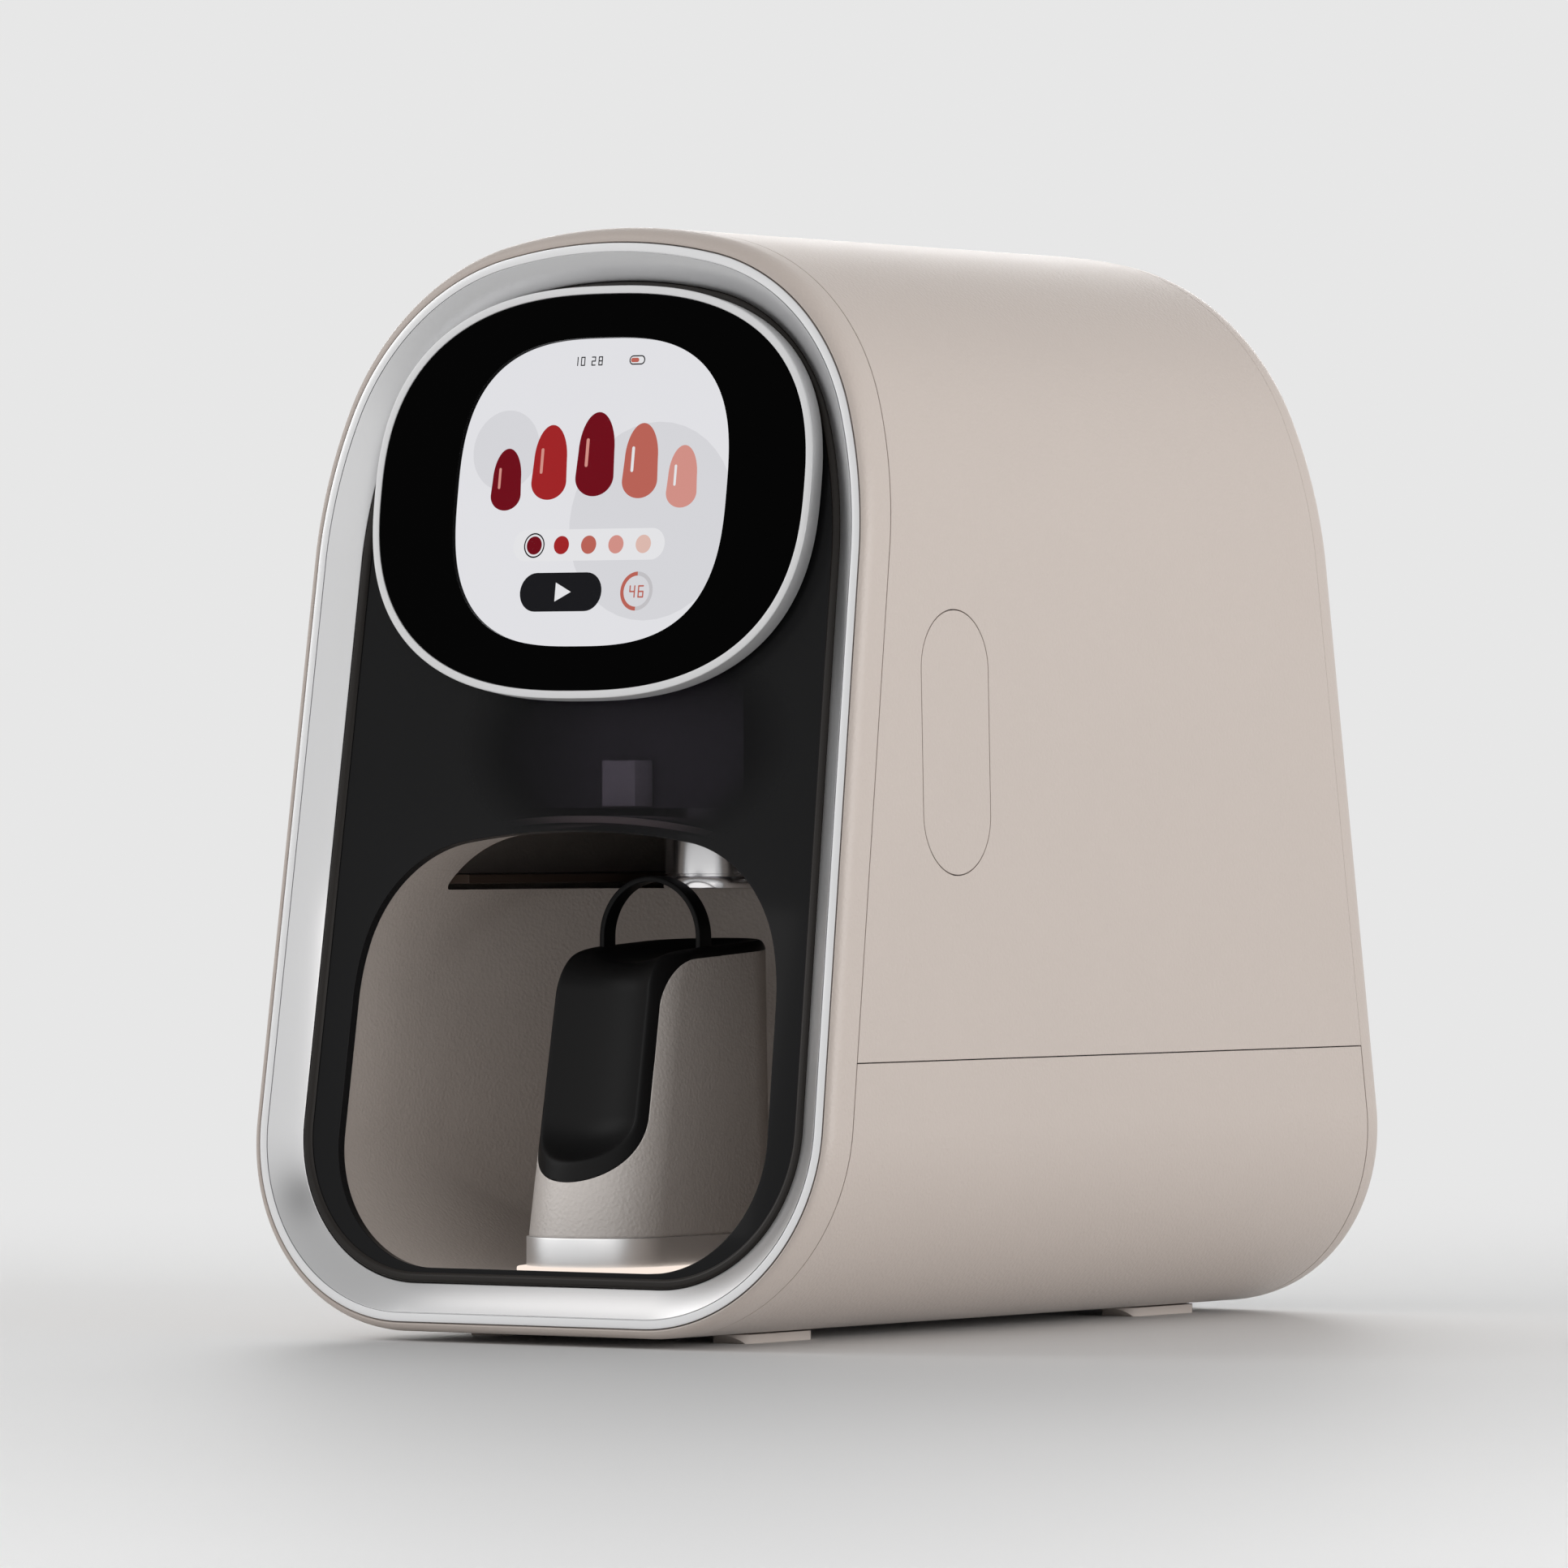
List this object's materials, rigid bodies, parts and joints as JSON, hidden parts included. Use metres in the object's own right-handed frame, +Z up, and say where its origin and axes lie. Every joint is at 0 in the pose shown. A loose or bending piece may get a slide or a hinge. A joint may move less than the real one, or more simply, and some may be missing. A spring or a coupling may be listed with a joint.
{
  "type": "nail art printer",
  "caption": "Desktop printer for nail art: leather-grained arch shell, silver bezel, round-cornered screen, open hand chamber with a finger rest under a travelling print head.",
  "frame": {"origin": "middle of the bounding box on the table", "axes": "+Z up, -Y out of the face with the screen, +X to the right side seen from the face (the side with the capsule button)"},
  "size_m": [0.19, 0.2918, 0.3],
  "materials": {
    "leather_cover": "satin, fine leather grain",
    "silver": "satin anodised",
    "gasket": "matt",
    "smoked": "gloss, smoked",
    "frame_black": "matt",
    "glass_black": "gloss, black border",
    "screen": "emissive screen",
    "liner": "satin, fine leather grain",
    "rest_cover": "satin, fine leather grain",
    "light": "warm white diffuser, lit",
    "rest_black": "satin, soft touch",
    "polished": "polished",
    "steel": "ground",
    "deck": "matt dark",
    "gantry": "matt anodised",
    "brass": "turned",
    "black_plastic": "satin",
    "belt": "matt",
    "motor": "semi-gloss",
    "sensor": "semi-gloss grey",
    "board": "solder resist",
    "foot": "matt"
  },
  "bodies": {
    "case": {"upper_shell": "leather_cover", "lower_cover": "leather_cover", "front_rim": "leather_cover", "rear_rim": "leather_cover", "bezel": "silver", "display_housing": "silver", "rest_ring": "silver", "gasket": "gasket", "front_panel": "smoked", "front_frame": "frame_black", "display_neck": "frame_black", "back_cover": "frame_black", "display_glass": "glass_black", "display_screen": "screen", "chamber_liner": "liner", "rest_body": "rest_cover", "light_ring": "light", "finger_cradle": "rest_black", "finger_strap": "rest_black", "chassis": "deck", "y_rod_l": "steel", "y_rod_r": "steel", "cover_screws": "steel", "button_guide": "black_plastic", "button_switch": "black_plastic", "fan_frame": "black_plastic", "power_inlet": "black_plastic", "y_motor": "motor", "display_board": "board", "main_board": "board", "power_board": "board", "foot_fl": "foot", "foot_fr": "foot", "foot_rl": "foot", "foot_rr": "foot"},
    "button": {"side_button": "leather_cover"},
    "screw": {"y_screw": "steel"},
    "gantry": {"y_gantry": "gantry", "y_nut": "brass", "x_rod_f": "steel", "x_rod_r": "steel", "x_belt": "belt", "x_motor": "motor"},
    "carriage": {"x_carriage": "black_plastic", "print_head": "black_plastic", "ink_cartridge": "black_plastic", "sensor_block": "sensor", "print_barrel": "polished"},
    "pulley": {"x_pulley": "steel"},
    "idler": {"x_idler": "steel"},
    "fan": {"fan_rotor": "black_plastic"}
  },
  "joints": [
    {"name": "button_press", "type": "slide", "parent": "case", "child": "button", "axis": [-1, 0, 0], "range_m": [0, 0.0012], "stiffness_N_per_m": 1500, "springref_m": -0.0004},
    {"name": "y_travel", "type": "slide", "parent": "case", "child": "gantry", "axis": [0, 1, 0], "range_m": [-0.008, 0.03]},
    {"name": "x_travel", "type": "slide", "parent": "gantry", "child": "carriage", "axis": [1, 0, 0], "range_m": [-0.012, 0.012]},
    {"name": "screw_turn", "type": "hinge", "parent": "case", "child": "screw", "pos_m": [0.069, 0, 0.16399], "axis": [0, 1, 0], "range_deg": [-361, 1351]},
    {"name": "pulley_turn", "type": "hinge", "parent": "gantry", "child": "pulley", "pos_m": [-0.065, -0.021, 0.177], "axis": [0, 0, 1], "range_deg": [-99, 99]},
    {"name": "idler_turn", "type": "hinge", "parent": "gantry", "child": "idler", "pos_m": [0.065, -0.021, 0.177], "axis": [0, 0, 1], "range_deg": [-99, 99]},
    {"name": "fan_spin", "type": "hinge", "parent": "case", "child": "fan", "pos_m": [0, 0.10808, 0.19093], "axis": [0, 0.9899, 0.1421], "continuous": true}
  ],
  "couplings": [
    {"joint": "screw_turn", "follows": "y_travel", "rad_per_m": 785.4},
    {"joint": "pulley_turn", "follows": "x_travel", "rad_per_m": 142.86},
    {"joint": "idler_turn", "follows": "x_travel", "rad_per_m": 142.86}
  ]
}
